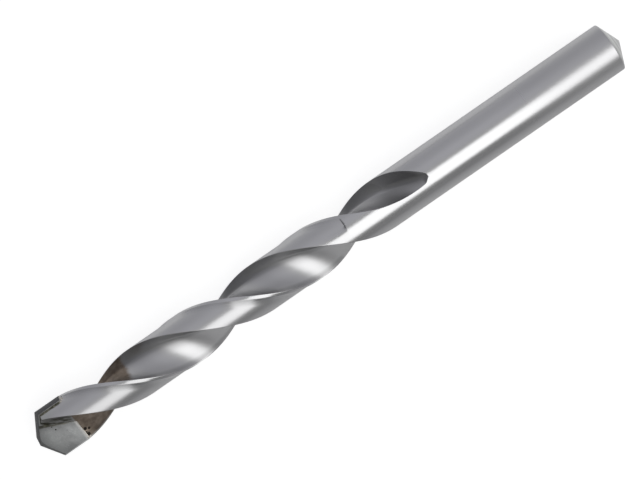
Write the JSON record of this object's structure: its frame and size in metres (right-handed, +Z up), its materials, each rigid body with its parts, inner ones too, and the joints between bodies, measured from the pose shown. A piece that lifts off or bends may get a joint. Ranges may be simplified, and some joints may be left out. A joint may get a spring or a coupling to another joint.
{
  "type": "masonry drill bit",
  "caption": "Straight-shank masonry drill bit: helical flutes that run out into a plain round shank, a coned tail and a pointed carbide plate brazed into the end.",
  "frame": {"origin": "on the surface that the bit lies on, under the middle of its length", "axes": "+X along the bit from the cutting point toward the tail, +Z up from the surface that it lies on"},
  "size_m": [0.12, 0.009, 0.009],
  "materials": {
    "ground_steel": "bright ground steel, heat-tinted in the flutes by the tip",
    "carbide": "matt grey sintered carbide with grinding scratches",
    "braze": "dull brazing filler"
  },
  "bodies": {
    "root": {"steel_body": "ground_steel", "carbide_tip": "carbide", "braze_seam": "braze"}
  },
  "joints": []
}
